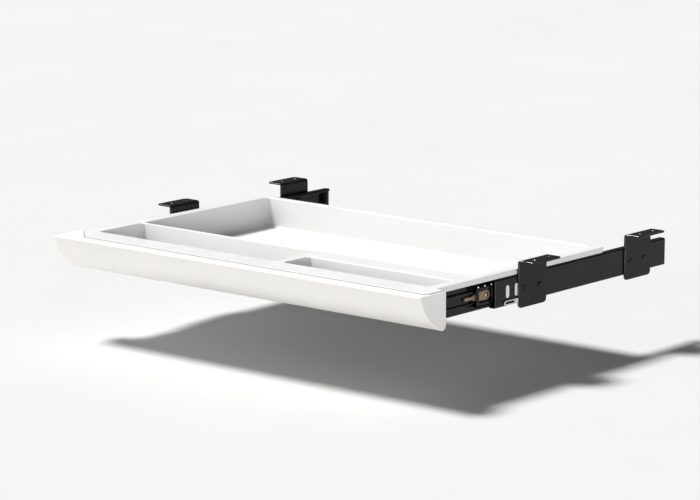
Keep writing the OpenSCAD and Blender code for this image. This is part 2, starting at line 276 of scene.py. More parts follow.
def combine(target, tools, operation):
    """Applies a boolean with each tool in turn, and deletes the tools."""
    for tool in tools:
        step = target.modifiers.new("step", "BOOLEAN")
        step.operation, step.object, step.solver = operation, tool, "MANIFOLD"
        graph = bpy.context.evaluated_depsgraph_get()
        mesh = bpy.data.meshes.new_from_object(target.evaluated_get(graph))
        target.modifiers.clear()
        target.data = mesh
        bpy.data.objects.remove(tool)
    tidy(target)
    return target


def merge(pieces, name):
    """Joins pieces into one object and keeps their materials."""
    first = pieces[0]
    work = bmesh.new()
    materials = []
    for piece in pieces:
        offset = {}
        for i, material in enumerate(piece.data.materials):
            if material not in materials:
                materials.append(material)
            offset[i] = materials.index(material)
        mark = len(work.faces)
        work.from_mesh(piece.data)
        work.faces.ensure_lookup_table()
        for face in work.faces[mark:]:
            face.material_index = offset.get(face.material_index, 0)
    mesh = bpy.data.meshes.new(name)
    work.to_mesh(mesh)
    work.free()
    for material in materials:
        mesh.materials.append(material)
    for piece in pieces[1:]:
        bpy.data.objects.remove(piece)
    first.data = mesh
    first.name = name
    return first


def lathe(profile, axis_point, axis, steps=32):
    """Points and faces of a solid turned about an axis. profile lists (place on the axis, radius)."""
    place = AXES[axis]
    rings = []
    for at, radius in profile:
        ring = [place(a, b, at) for a, b in circle((0, 0), max(radius, 0.01), steps)]
        rings.append([tuple(o + c for o, c in zip(axis_point, point)) for point in ring])
    return loft(rings)


# ---------------------------------------------------------------- bent sheet

class BentPath:
    """The middle line of a bent sheet: straight runs joined by arcs, measured along its length."""

    def __init__(self, corners, radius, steps=6):
        corners = [Vector(c) for c in corners]
        self.points, self.normals = [corners[0]], []
        first = (corners[1] - corners[0]).normalized()
        self.normals.append(Vector((-first.y, first.x)))
        for before, here, after in zip(corners, corners[1:], corners[2:]):
            a, b = (before - here).normalized(), (after - here).normalized()
            half = a.angle(b) / 2
            centre = here + (a + b).normalized() * (radius / math.sin(half))
            start = here + a * (radius / math.tan(half)) - centre
            turn = -start.angle_signed(here + b * (radius / math.tan(half)) - centre)
            outward = 1 if turn < 0 else -1
            for i in range(steps + 1):
                spoke = start.copy()
                spoke.rotate(Matrix.Rotation(turn * i / steps, 2))
                self.points.append(centre + spoke)
                self.normals.append(spoke.normalized() * outward)
        last = (corners[-1] - corners[-2]).normalized()
        self.points.append(corners[-1])
        self.normals.append(Vector((-last.y, last.x)))
        self.marks = [0.0]
        for a, b in zip(self.points, self.points[1:]):
            self.marks.append(self.marks[-1] + (b - a).length)
        self.length = self.marks[-1]

    def at(self, s):
        """Point and normal at a length s along the path."""
        s = min(max(s, 0.0), self.length)
        i = max(k for k in range(len(self.marks) - 1) if self.marks[k] <= s + 1e-9)
        span = self.marks[i + 1] - self.marks[i]
        t = (s - self.marks[i]) / span if span > 1e-9 else 0.0
        normal = self.normals[i].lerp(self.normals[i + 1], t).normalized()
        return self.points[i].lerp(self.points[i + 1], t), normal


def inside(point, loops):
    """True if a point is inside an odd number of loops."""
    hits = 0
    x, y = point
    for loop in loops:
        for (x0, y0), (x1, y1) in zip(loop, loop[1:] + loop[:1]):
            if (y0 > y) != (y1 > y) and x < (x1 - x0) * (y - y0) / (y1 - y0) + x0:
                hits += 1
    return hits % 2 == 1


def split_at(loop, marks):
    """The loop with a point added wherever it crosses one of the bend marks."""
    split = []
    for a, b in zip(loop, loop[1:] + loop[:1]):
        split.append(a)
        crossed = [m for m in marks if min(a[0], b[0]) + 1e-6 < m < max(a[0], b[0]) - 1e-6]
        for m in sorted(crossed, reverse=a[0] > b[0]):
            t = (m - a[0]) / (b[0] - a[0])
            split.append((m, a[1] + (b[1] - a[1]) * t))
    return split


def bent_sheet(name, path, thickness, outline, holes, place, materials, mirrored=False, edge=0.18):
    """A sheet cut to an outline with holes, (length along the path, Y), and bent to the path.

    place turns a point of the path's plane and a Y into X, Y, Z. The cut edges are broken by
    small chamfers that take the second material.
    """
    bends = path.marks[1:-1]
    loops = [facing(split_at(outline, bends))] + [facing(split_at(h, bends), False) for h in holes]
    skins = [inset(loop, edge) for loop in loops]
    flat, edges, starts = [], [], []
    for skin in skins:
        starts.append(len(flat))
        flat += [Vector(p) for p in skin]
        edges += [(starts[-1] + j, starts[-1] + (j + 1) % len(skin)) for j in range(len(skin))]
    for mark in bends:
        on_mark = sorted((p.y, i) for i, p in enumerate(flat) if abs(p.x - mark) < 1e-5)
        edges += [(a[1], b[1]) for a, b in zip(on_mark[::2], on_mark[1::2])]
    out_points, _, triangles, origins, _, _ = geometry.delaunay_2d_cdt(flat, edges, [], 1, 1e-7)
    whole = [[tuple(p) for p in skin] for skin in skins]
    kept = [t for t in triangles if inside(sum((out_points[i] for i in t), Vector((0, 0))) / 3, whole)]
    slot_of = {}
    for new, olds in enumerate(origins):
        for old in olds:
            slot_of[old] = new

    def lift(s, y, offset):
        point, normal = path.at(s)
        return place(point + normal * offset, y)

    half = thickness / 2
    count = len(out_points)
    points = [lift(p.x, p.y, half) for p in out_points] + [lift(p.x, p.y, -half) for p in out_points]
    faces = [tuple(t) for t in kept] + [tuple(count + i for i in reversed(t)) for t in kept]
    slots = [0] * len(faces)
    for loop, start in zip(loops, starts):
        size = len(loop)
        base = len(points)
        points += [lift(s, y, half - edge) for s, y in loop] + [lift(s, y, edge - half) for s, y in loop]
        for j in range(size):
            k = (j + 1) % size
            top_j, top_k = slot_of[start + j], slot_of[start + k]
            faces.append((top_j, top_k, base + k, base + j))
            faces.append((base + j, base + k, base + size + k, base + size + j))
            faces.append((base + size + j, base + size + k, count + top_k, count + top_j))
            slots += [1, 0, 1]
    return new_piece(name, points, faces, materials, slots, mirrored)


# ---------------------------------------------------------------- materials

def shader(name, colour, roughness, metallic=0.0, **inputs):
    """A new node material and its Principled shader, with uniform values set on its sockets."""
    material = bpy.data.materials.new(name)
    material.use_nodes = True
    principled = material.node_tree.nodes["Principled BSDF"]
    principled.inputs["Base Color"].default_value = (*colour, 1)
    principled.inputs["Roughness"].default_value = roughness
    principled.inputs["Metallic"].default_value = metallic
    for key, value in inputs.items():
        principled.inputs[key.replace("_", " ")].default_value = value
    return material, principled


class Nodes:
    """Adds nodes to one material with little writing."""

    def __init__(self, material):
        self.tree = material.node_tree
        self.coordinates = self.tree.nodes.new("ShaderNodeTexCoord")

    def add(self, kind, links=(), **values):
        node = self.tree.nodes.new(kind)
        for key, value in values.items():
            if key in node.inputs:
                node.inputs[key].default_value = value
            else:
                setattr(node, key, value)
        for socket, source in links:
            self.tree.links.new(source, node.inputs[socket])
        return node

    def stretch(self, scale):
        node = self.add("ShaderNodeMapping", [("Vector", self.coordinates.outputs["Object"])])
        node.inputs["Scale"].default_value = scale
        return node.outputs["Vector"]

    def noise(self, scale, detail=4.0, stretch=(1, 1, 1), roughness=0.55):
        node = self.add("ShaderNodeTexNoise", [("Vector", self.stretch(stretch))])
        node.inputs["Scale"].default_value = scale
        node.inputs["Detail"].default_value = detail
        node.inputs["Roughness"].default_value = roughness
        return node.outputs["Fac"]

    def ramp(self, source, stops):
        """Maps a value to colours. stops lists (position, colour)."""
        node = self.add("ShaderNodeValToRGB", [("Fac", source)])
        ramp = node.color_ramp
        while len(ramp.elements) < len(stops):
            ramp.elements.new(0.5)
        for element, (position, colour) in zip(ramp.elements, stops):
            element.position = position
            element.color = (*colour, 1) if len(colour) == 3 else colour
        return node.outputs["Color"]

    def span(self, source, low, high, to_low, to_high):
        node = self.add("ShaderNodeMapRange", [("Value", source)])
        for key, value in zip(("From Min", "From Max", "To Min", "To Max"), (low, high, to_low, to_high)):
            node.inputs[key].default_value = value
        return node.outputs["Result"]

    def mix(self, factor, a, b):
        node = self.tree.nodes.new("ShaderNodeMix")
        node.data_type = "RGBA"
        self.tree.links.new(factor, node.inputs["Factor"])
        for socket, value in ((node.inputs[6], a), (node.inputs[7], b)):
            if isinstance(value, tuple):
                socket.default_value = (*value, 1)
            else:
                self.tree.links.new(value, socket)
        return node.outputs[2]

    def bump(self, height, distance, strength=1.0, under=None):
        node = self.add("ShaderNodeBump", [("Height", height)])
        node.inputs["Distance"].default_value = distance
        node.inputs["Strength"].default_value = strength
        if under is not None:
            self.tree.links.new(under, node.inputs["Normal"])
        return node.outputs["Normal"]

    def link(self, source, socket):
        self.tree.links.new(source, socket)


def scaled(colour, factor):
    return tuple(c * factor for c in colour)


def moulded_plastic(name, colour, shade, roughness, grain, grain_depth, **inputs):
    """Moulded plastic: a spark-eroded grain, slow waves from shrinkage, faint dust and handling marks."""
    gloss_spread = 0.06
    material, principled = shader(name, colour, roughness, **inputs)
    n = Nodes(material)
    mottling = n.noise(9.0, 3.0)
    dust = n.noise(420.0, 5.0)
    tone = n.ramp(mottling, [(0.3, shade), (0.7, colour)])
    specks = n.ramp(dust, [(0.72, (0, 0, 0)), (0.8, (1, 1, 1))])
    worn = n.mix(specks, tone, scaled(shade, 0.93))
    n.link(worn, principled.inputs["Base Color"])
    smear = n.noise(26.0, 6.0, (1, 0.35, 1))
    gloss = n.span(smear, 0.3, 0.7, roughness - gloss_spread, roughness + gloss_spread)
    n.link(gloss, principled.inputs["Roughness"])
    waves = n.bump(n.noise(16.0, 2.0), 0.00025, 0.25)
    n.link(n.bump(n.noise(grain, 3.0), grain_depth, 0.55, waves), principled.inputs["Normal"])
    return material


def coated_steel(name, colour, roughness, wear):
    """Black dip coat on rolled steel: drawing lines along Y, light scuffs and rubbed spots."""
    material, principled = shader(name, colour, roughness, Specular_IOR_Level=0.14, Coat_Weight=0.06,
                                  Coat_Roughness=0.08)
    n = Nodes(material)
    lines = n.noise(900.0, 3.0, (1, 0.012, 1))
    blotch = n.noise(34.0, 5.0)
    scuffs = n.noise(150.0, 8.0, (1, 0.08, 1), 0.7)
    rubbed = n.ramp(scuffs, [(1 - wear, (0, 0, 0)), (1 - wear + 0.05, (1, 1, 1))])
    tone = n.ramp(blotch, [(0.35, scaled(colour, 0.75)), (0.7, scaled(colour, 1.5))])
    rubbed_grey = (0.16, 0.155, 0.15)
    n.link(n.mix(rubbed, tone, rubbed_grey), principled.inputs["Base Color"])
    n.link(n.span(blotch, 0.3, 0.7, roughness - 0.07, roughness + 0.1), principled.inputs["Roughness"])
    rolled = n.bump(lines, 0.00006, 0.35)
    n.link(n.bump(n.noise(300.0, 2.0), 0.00005, 0.25, rolled), principled.inputs["Normal"])
    return material


def worn_and_highlit_edge(name, bare, coat):
    """A cut edge with the coat rubbed through to bare steel in patches; the lighter bare steel along the
    edges is also a painted highlight.
    """
    material, principled = shader(name, bare, 0.3, 0.6)
    n = Nodes(material)
    patch = n.noise(120.0, 6.0, (1, 0.25, 1), 0.65)
    n.link(n.ramp(patch, [(0.38, coat), (0.62, bare)]), principled.inputs["Base Color"])
    n.link(n.span(patch, 0.3, 0.7, 0.42, 0.24), principled.inputs["Roughness"])
    return material


def plated_steel(name, colour, roughness):
    """Plated or polished steel: fine spangle, drawing lines and a slightly uneven gloss."""
    material, principled = shader(name, colour, roughness, 1.0)
    n = Nodes(material)
    spangle = n.noise(700.0, 4.0)
    lines = n.noise(1200.0, 2.0, (1, 0.02, 1))
    tone = n.ramp(spangle, [(0.3, scaled(colour, 0.82)), (0.7, colour)])
    n.link(tone, principled.inputs["Base Color"])
    n.link(n.span(spangle, 0.3, 0.7, roughness - 0.06, roughness + 0.08), principled.inputs["Roughness"])
    n.link(n.bump(lines, 0.00004, 0.3), principled.inputs["Normal"])
    return material


def rubber_material():
    """Matt black rubber with a fine pebbled skin."""
    material, principled = shader("rubber", (0.02, 0.02, 0.021), 0.75)
    n = Nodes(material)
    n.link(n.ramp(n.noise(180.0), [(0.3, (0.014, 0.014, 0.015)), (0.7, (0.03, 0.03, 0.03))]),
           principled.inputs["Base Color"])
    n.link(n.bump(n.noise(900.0, 3.0), 0.00008, 0.5), principled.inputs["Normal"])
    return material


TRAY_PLASTIC = moulded_plastic(
    "tray_plastic", (0.785, 0.79, 0.79), (0.76, 0.765, 0.763), 0.34, grain=1500.0, grain_depth=0.00006,
    Subsurface_Weight=0.04, Subsurface_Scale=0.004)
LIP_PLASTIC = moulded_plastic(
    "lip_plastic", (0.86, 0.85, 0.822), (0.838, 0.826, 0.793), 0.42, grain=1100.0, grain_depth=0.00009,
    Subsurface_Weight=0.05, Subsurface_Scale=0.004)
NYLON = moulded_plastic(
    "white_nylon", (0.88, 0.88, 0.86), (0.84, 0.84, 0.81), 0.38, grain=1400.0, grain_depth=0.00005,
    Subsurface_Weight=0.15, Subsurface_Scale=0.003)
# A darker grey plastic for the flange's front faces in the groove: painted shade.
GROOVE_PAINTED_SHADE = moulded_plastic(
    "groove_painted_shade", (0.42, 0.415, 0.405), (0.36, 0.355, 0.345), 0.7, grain=900.0, grain_depth=0.00008)
LEVER_PLASTIC = moulded_plastic(
    "lever_plastic", (0.30, 0.20, 0.115), (0.25, 0.165, 0.095), 0.36, grain=1300.0, grain_depth=0.00005)
BLACK_STEEL = coated_steel("black_steel", (0.007, 0.007, 0.008), 0.2, 0.3)
HANGER_STEEL = coated_steel("hanger_steel", (0.006, 0.006, 0.0065), 0.28, 0.28)
STUD_STEEL = plated_steel("stud_steel", (0.85, 0.85, 0.86), 0.18)
# Edges: coat rubbed through to bare steel, and the bare steel lighter as a painted highlight along the
# edges.
EDGE_WEAR_AND_HIGHLIGHT = worn_and_highlit_edge("worn_and_highlit_edge", (0.34, 0.34, 0.35), (0.03, 0.03, 0.032))
BLACK_SCREW = coated_steel("black_screw", (0.03, 0.03, 0.032), 0.3, 0.36)
ZINC_STRIP = plated_steel("zinc_strip", (0.66, 0.67, 0.69), 0.28)
ZINC_SCREW = plated_steel("zinc_screw", (0.72, 0.72, 0.74), 0.24)
BALL_STEEL = plated_steel("ball_steel", (0.78, 0.79, 0.81), 0.1)
RUBBER = rubber_material()


def settle(piece, body, slot, *nodes, weighted=True):
    """Hands a finished piece to the frame: its body and the CAD nodes it stands for. slot is not used."""
    if weighted:
        normals = piece.modifiers.new("normals", "WEIGHTED_NORMAL")
        normals.keep_sharp = True
        normals.weight = 60
    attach(piece, body)
    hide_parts(*nodes)
    return piece


# ---------------------------------------------------------------- tray

def flange_front():
    """Corners of the tray flange's front edge, seen from above, with both its ends cut off."""
    front = FRONT_Y + LIP_STRIP + GROOVE
    left, right = FLANGE_ENDS
    return [(left + LEFT_MITRE, front), (right - RIGHT_MITRE, front), (right, front + RIGHT_MITRE)]


def flange_outline():
    """The tray flange, seen from above: wide over the lip and narrower behind it."""
    left, right = FLANGE_ENDS
    shoulder, back = FRONT_Y + LIP_DEPTH, TRAY_HIGH.y
    corners = flange_front() + [
        (right, shoulder), (FLANGE_X, shoulder), (FLANGE_X, back), (-FLANGE_X, back),
        (-FLANGE_X, shoulder), (left, shoulder),
    ]
    return rounded(corners, [3, 2, 2, 1, 1.2, 4, 4, 1.2, 1])


def recess_outline():
    """The recess in the lip's top: the flange's front, a groove wider and open at the back."""
    left, right = FLANGE_ENDS
    shoulder = FRONT_Y + LIP_DEPTH
    beyond = shoulder + 12
    corners = flange_front() + [(right, beyond), (left, beyond), (left, shoulder)]
    return inset(facing(rounded(corners, [3, 2, 2, 0, 0, 0.4])), -GROOVE)


def pocket(name, x0, y0, x1, y1, corner, floor_r):
    """A cutter for one compartment: dished floor, drafted walls and a rim that rolls outwards."""
    rim_r, draft = 1.2, 0.9
    outline = rounded(rectangle(x0, y0, x1, y1), corner, 8)
    levels = rounded_bottom(TRAY_Z + WALL, floor_r, 8, draft) + rolled_rim(RIM_Z, rim_r)
    return prism(name, outline, levels, "z", [TRAY_PLASTIC])


def tray_skirts():
    """The flange's down-turned edges, one a side."""
    skirts = []
    for sign in (-1, 1):
        low, high = sorted((sign * FLANGE_X, sign * (FLANGE_X - SKIRT_T)))
        section = rounded(rectangle(low, RIM_Z - SKIRT_H, high, RIM_Z - 1.2), [0.8, 0.8, 0, 0], 4)
        ends = round_ends(FRONT_Y + LIP_DEPTH + 1, TRAY_HIGH.y - 4, 0.6)
        skirts.append(prism("skirt", section, ends, "y", [TRAY_PLASTIC]))
    return skirts


def tray_cutters():
    """The three compartments, and the hollows under the ledge and under the divider."""
    inside_x = WALL_X - WALL
    corner, floor_r = 6, 4.8
    store_corner, store_floor_r = 8, 4.0
    cutters = [
        pocket("store", -inside_x, PEN_BACK + WALL, inside_x, TRAY_BACK - WALL, store_corner, store_floor_r),
        pocket("pens", -inside_x, PEN_FRONT, DIVIDER[0], PEN_BACK, corner, floor_r),
        pocket("clips", DIVIDER[1], PEN_FRONT, inside_x, CLIP_BACK, corner, floor_r),
    ]
    hollows = [
        rectangle(DIVIDER[1] + WALL, CLIP_BACK + WALL, inside_x, PEN_BACK - WALL),
        rectangle(DIVIDER[0] + WALL, PEN_FRONT, DIVIDER[1] - WALL, PEN_BACK - WALL),
    ]
    roof = RIM_Z - WALL - 0.2
    levels = [(TRAY_Z - 1, -0.5), (TRAY_Z + 0.5, 0.3), (roof - 1, 0.6), (roof, 1.2)]
    for i, hollow in enumerate(hollows):
        cutters.append(prism(f"hollow_{i}", rounded(hollow, 1.5, 4), levels, "z", [TRAY_PLASTIC]))
    return cutters


def paint_groove_shade(tray, steepest=0.75):
    """Gives the steep faces of the flange's front, inside the lip's recess, a darker grey: painted shade for
    the groove between the flange and the lip.
    """
    tray.data.materials.append(GROOVE_PAINTED_SHADE)
    back, low = (FRONT_Y + LIP_DEPTH - 0.5) * MM, (RIM_Z - WALL) * MM
    for face in tray.data.polygons:
        if face.center.y < back and face.center.z > low and abs(face.normal.z) < steepest:
            face.material_index = len(tray.data.materials) - 1


def build_tray():
    """The tray: a round-bottomed box with a flange and skirts, cut out from above and below."""
    corner, bottom_r, flange_r = 6, 4, 0.9
    outline = rounded(rectangle(-WALL_X, TRAY_FRONT, WALL_X, TRAY_BACK), corner, 6)
    levels = rounded_bottom(TRAY_Z, bottom_r, 6) + [(RIM_Z - 1.0, 0)]
    body = prism("tray_moulding", outline, levels, "z", [TRAY_PLASTIC])
    edge = round_ends(RIM_Z - WALL, RIM_Z, flange_r)
    flange = prism("flange", flange_outline(), edge, "z", [TRAY_PLASTIC])
    combine(body, [flange] + tray_skirts(), "UNION")
    combine(body, tray_cutters(), "DIFFERENCE")
    paint_groove_shade(body)
    settle(body, "drawer", "tray_plastic", "tray")


# ---------------------------------------------------------------- front lip

def lip_section(face, rest, edge_r=1.6, back_r=0.7, corner_r=5.5):
    """The lip's closed section, (Y, Z), its curved face inset by face and its top and back by rest.
    It runs from the top edge's back to the front, down the curved face and up the back."""
    top, back, radius = LIP_Z - rest, LIP_DEPTH - rest, LIP_RADIUS - face
    cy, cz = LIP_CENTRE[0], RIM_Z + LIP_CENTRE[1]
    back_r = max(back_r - rest, 0.15)
    edge_r = max(edge_r - rest, 0.15)
    corner_r = max(corner_r - rest, 0.5)
    loop = arc((back - back_r, top - back_r), back_r, 0, 90, 4)
    fz = top - edge_r
    fy = cy - math.sqrt((radius - edge_r) ** 2 - (cz - fz) ** 2)
    face_start = math.degrees(math.atan2(fz - cz, fy - cy)) % 360
    loop += arc((fy, fz), edge_r, 90, face_start, 6)
    ky = back - corner_r
    kz = cz - math.sqrt((radius - corner_r) ** 2 - (cy - ky) ** 2)
    face_end = math.degrees(math.atan2(kz - cz, ky - cy)) % 360
    loop += arc((cy, cz), radius, face_start, face_end, 30)[1:-1]
    loop += arc((ky, kz), corner_r, face_end, 360, 8)
    return [(FRONT_Y + y, z) for y, z in loop]


def lip_solid():
    """The lip's outside: its curved face meets the flat ends in a small radius."""
    face_r, rest_r, steps = 1.6, 0.7, 6
    stations = []
    for i in range(steps + 1):
        t = math.pi / 2 * i / steps
        drawn_in = 1 - math.cos(t)
        stations.append((HALF_W - face_r + face_r * math.sin(t), face_r * drawn_in, rest_r * drawn_in))
    stations = [(-x, face, rest) for x, face, rest in reversed(stations)] + stations
    rings = [[(x, y, z) for y, z in lip_section(face, rest)] for x, face, rest in stations]
    return new_piece("front_lip_moulding", *loft(rings), [LIP_PLASTIC])


def lip_bay(x0, x1):
    """A cutter for one hollow between two ribs, open at the lip's back."""
    roof, back = RIM_Z - LEDGE_DROP - WALL, FRONT_Y + LIP_DEPTH + 1
    section = lip_section(WALL, WALL)
    kept = [p for p in section if p[1] < roof - 0.01]
    above = section[section.index(kept[0]) - 1]
    t = (roof - above[1]) / (kept[0][1] - above[1])
    crossing = (above[0] + (kept[0][0] - above[0]) * t, roof)
    section = [crossing] + kept + [(back, kept[-1][1]), (back, roof)]
    return prism("bay", section, [(x0, 0), (x1, 0)], "x", [LIP_PLASTIC])


def build_lip():
    """The front lip: hollow between its ribs, with a recess for the flange and four screw bosses."""
    lip = lip_solid()
    bays, rib = 12, 2.0
    pitch = (2 * HALF_W - 2 * WALL + rib) / bays
    first = -HALF_W + WALL
    cutters = [lip_bay(first + i * pitch, first + (i + 1) * pitch - rib) for i in range(bays)]
    recess_edge_r = 0.5
    levels = [(RIM_Z - LEDGE_DROP, 0.0)] + rolled_rim(LIP_Z, recess_edge_r)
    cutters.append(prism("recess", recess_outline(), levels, "z", [LIP_PLASTIC]))
    combine(lip, cutters, "DIFFERENCE")
    root, boss_r, bore_r, bore_end = 11.8, 4.2, 1.8, LIP_DEPTH / 2
    profile = [(root, boss_r), (LIP_DEPTH - 0.4, boss_r), (LIP_DEPTH, boss_r - 0.4), (LIP_DEPTH, bore_r),
               (bore_end, bore_r)]
    bosses = [new_piece("boss", *lathe(profile, (x, FRONT_Y, SCREW_Z), "y"), [LIP_PLASTIC])
              for x in LIP_SCREW_X]
    settle(merge([lip] + bosses, "front_lip_moulding"), "drawer", "lip_plastic", "front_lip")


# ---------------------------------------------------------------- screws

def screw(name, at, direction, shank_l, materials):
    """A pan-head screw with a cross recess. at is under its head, on the seat; direction points out."""
    head_r, head_t = SCREW_HEAD
    shank_r, point_l = SCREW_R - 0.03, 0.8
    dome = [(head_t * math.sin(t), head_r * math.cos(t) ** 0.6 if t < 1.5 else 0.02)
            for t in (math.pi / 2 * i / 8 for i in range(9))]
    profile = [(-shank_l, SCREW_R * 0.6), (-shank_l + point_l, shank_r), (-0.02, shank_r)] + dome
    head = new_piece(name, *lathe(profile, (0, 0, 0), "z"), materials)
    arm_reach, arm_half = head_r * 0.55, 0.42
    slot = rounded(rectangle(-arm_reach, -arm_half, arm_reach, arm_half), 0.3, 3)
    tapered = [(head_t * 0.35, 0.25), (head_t + 1, -0.1)]
    arms = []
    for angle in (0, math.pi / 2):
        arm = prism("arm", slot, tapered, "z", materials)
        arm.data.transform(Matrix.Rotation(angle, 4, "Z"))
        arms.append(arm)
    combine(head, arms, "DIFFERENCE")
    turn = Vector((0, 0, 1)).rotation_difference(Vector(direction)).to_matrix().to_4x4()
    own_angle = 0.7 * (at[0] + at[1])      # so that no two screws stand alike
    twist = Matrix.Rotation(own_angle, 4, "Z")
    head.data.transform(Matrix.Translation(Vector(at) * MM) @ turn @ twist)
    return head


def build_lip_screws():
    """The screws from the pen compartments into the lip's bosses."""
    shank_l = 16
    made = [screw("lip_screw", (x, PEN_FRONT, SCREW_Z), (0, 1, 0), shank_l, [ZINC_SCREW])
            for x in LIP_SCREW_X]
    settle(merge(made, "lip_screw_set"), "drawer", "zinc_screws", "lip_screws", weighted=False)


# ---------------------------------------------------------------- slides and hangers

def beside_tray(point, y):
    """A slide's u and v, with a Y, in the part's frame."""
    return (SIDE_X + point.x, y, SLIDE_Z + point.y)


def rail_sheet(name, corners, bend, y0, y1, holes, mirrored):
    """A rolled rail. holes lists outlines in (v, Y), cut in its web."""
    path = BentPath(corners, bend)
    middle, corner_r = path.length / 2, 0.8
    outline = rounded(rectangle(0, y0, path.length, y1), corner_r, 4)
    cut = [[(middle + v, y) for v, y in hole] for hole in holes]
    return bent_sheet(name, path, STEEL, outline, cut, beside_tray, [BLACK_STEEL, EDGE_WEAR_AND_HIGHLIGHT], mirrored)


def channel(u_open, u_web, v):
    """Corners of a channel's middle line, from its lower edge to its upper edge."""
    return [(u_open, -v), (u_web, -v), (u_web, v), (u_open, v)]


def hanger_screw_places():
    """Y of the four screws from the hangers into an outer rail."""
    return [s * HANGER_Y + k * HOLE_PITCH / 2 for s in (-1, 1) for k in (-1, 1)]


def build_outer_rail(side, mirrored):
    """The outer rail: a channel with turned-in edges, two upright slots and four screw holes."""
    web, open_u, edge_v, turned_in = SLIDE_T - STEEL / 2, 2.7 + STEEL / 2, RAIL_HALF - STEEL / 2, 3
    corners = [(open_u, -edge_v + turned_in), (open_u, -edge_v), (web, -edge_v), (web, edge_v),
               (open_u, edge_v), (open_u, edge_v - turned_in)]
    holes = [stadium((0, OUTER_LOW.y + y), 16, 6.5) for y in SLOT_Y]
    holes += [circle((0, y), SCREW_R) for y in hanger_screw_places()]
    rail = rail_sheet(f"{side}_outer_channel", corners, 1.5, OUTER_LOW.y, OUTER_HIGH.y, holes, mirrored)
    settle(rail, "desk_side", "black_steel", f"{side}_outer_rail")


def build_middle_rail(side, mirrored):
    """The middle rail: a rolled I with a window, and three domed studs at its upper track's end."""
    top, low, lip = 12.15, 10.95, 10.1
    half = [(6.5, low), (1.9, low), (1.9, lip), (0.7, lip), (0.7, top), (9.7, top), (9.7, low), (7.7, low)]
    corners = half + [(u, -v) for u, v in reversed(half)]
    radii = [0.8, 0.1, 0.35, 0.35, 0.6, 0.6, 0.5, 0.8]
    section = [(SIDE_X + u, SLIDE_Z + v) for u, v in rounded(corners, radii + radii[::-1], 4)]
    y0, y1 = MIDDLE_LOW.y, MIDDLE_HIGH.y
    rail = prism(f"{side}_middle_section", section, broken_ends(y0, y1), "y", [BLACK_STEEL, EDGE_WEAR_AND_HIGHLIGHT],
                 mirrored)
    window_y, window_half = (5, 30), 7.5
    window = rectangle(y0 + window_y[0], SLIDE_Z - window_half, y0 + window_y[1], SLIDE_Z + window_half)
    through = [(SIDE_X + 5.5, 0), (SIDE_X + 8.7, 0)]
    combine(rail, [prism("window", rounded(window, 1.2, 4), through, "x", [EDGE_WEAR_AND_HIGHLIGHT], mirrored)],
            "DIFFERENCE")
    dome = [(-0.4, 1.5), (1.0, 1.5), (1.45, 1.35), (1.8, 1.0), (2.02, 0.55), (2.1, 0.02)]
    studs = []
    for y in STUD_Y:
        at = (SIDE_X + 7.7, y0 + y, SLIDE_Z + top)
        studs.append(new_piece("stud", *lathe(dome, at, "z", 24), [STUD_STEEL], mirrored=mirrored))
    rail = merge([rail] + studs, f"{side}_middle_section")
    settle(rail, f"{side}_middle", "black_steel", f"{side}_middle_rail")


def build_side_plate(side, mirrored):
    """The black plate between the slide and the tray's wall."""
    low, high = box_mm("right_side_plate")
    outline = rounded(rectangle(low.y, low.z, high.y, high.z), 2.5, 5)
    plate = prism(f"{side}_wall_plate", outline, broken_ends(low.x, high.x), "x", [BLACK_STEEL], mirrored)
    through = [(low.x - 1, 0), (high.x + 1, 0)]
    bores = [prism("bore", circle((INNER_LOW.y + y, SLIDE_Z), SCREW_R + 0.02), through, "x", [BLACK_STEEL],
                   mirrored) for y in RAIL_SCREW_Y]
    combine(plate, bores, "DIFFERENCE")
    settle(plate, "drawer", "black_steel", f"{side}_side_plate")


def build_inner_rail(side, mirrored):
    """The inner rail: a channel open outwards, with holes for its screws and the lever's rivet."""
    open_u, web, edge_v, rivet_r = 4.7, STEEL / 2, 7.05, 2.0
    y0 = INNER_LOW.y
    holes = [circle((0, y0 + y), SCREW_R) for y in RAIL_SCREW_Y] + [circle((0, y0 + LEVER_Y), rivet_r)]
    rail = rail_sheet(f"{side}_inner_channel", channel(open_u, web, edge_v), 1.0, y0, INNER_HIGH.y, holes,
                      mirrored)
    settle(rail, "drawer", "black_steel", f"{side}_inner_rail")


def new_ball(centre, radius):
    """One steel ball, with its centre in millimetres."""
    work = bmesh.new()
    bmesh.ops.create_uvsphere(work, u_segments=20, v_segments=12, radius=radius * MM)
    mesh = bpy.data.meshes.new("ball")
    work.to_mesh(mesh)
    work.free()
    mesh.transform(Matrix.Translation(Vector(centre) * MM))
    mesh.materials.append(BALL_STEEL)
    ball = bpy.data.objects.new("ball", mesh)
    bpy.context.scene.collection.objects.link(ball)
    tidy(ball, crease=60)
    return ball


def build_race(side, mirrored, which, u_open, u_web, v, thickness, ball_u, ball_r):
    """A ball cage bent to a channel, and the eighteen balls in its two rows."""
    count, pitch, play = 9, 15.5, 0.05
    low, high = box_mm(f"{side}_{which}_cage")
    middle = low.y + (high.y - low.y) / 2
    rows = [middle + (i - (count - 1) / 2) * pitch for i in range(count)]
    path = BentPath(channel(u_open, u_web, v), thickness * 0.8)
    outline = rounded(rectangle(0, low.y, path.length, high.y), 0.5, 3)
    row_s = ball_u - u_open
    holes = [circle((s, y), ball_r + play, 20) for y in rows for s in (row_s, path.length - row_s)]
    cage = bent_sheet(f"{side}_{which}_retainer", path, thickness, outline, holes, beside_tray,
                      [ZINC_STRIP, ZINC_STRIP], mirrored, edge=0.1)
    settle(cage, f"{side}_{which}_race", "zinc_strip", f"{side}_{which}_cage")
    x = -(SIDE_X + ball_u) if mirrored else SIDE_X + ball_u
    made = [new_ball((x, y, SLIDE_Z + s * v), ball_r) for y in rows for s in (-1, 1)]
    balls = merge(made, f"{side}_{which}_ball_set")
    settle(balls, f"{side}_{which}_race", "ball_steel", f"{side}_{which}_balls", weighted=False)


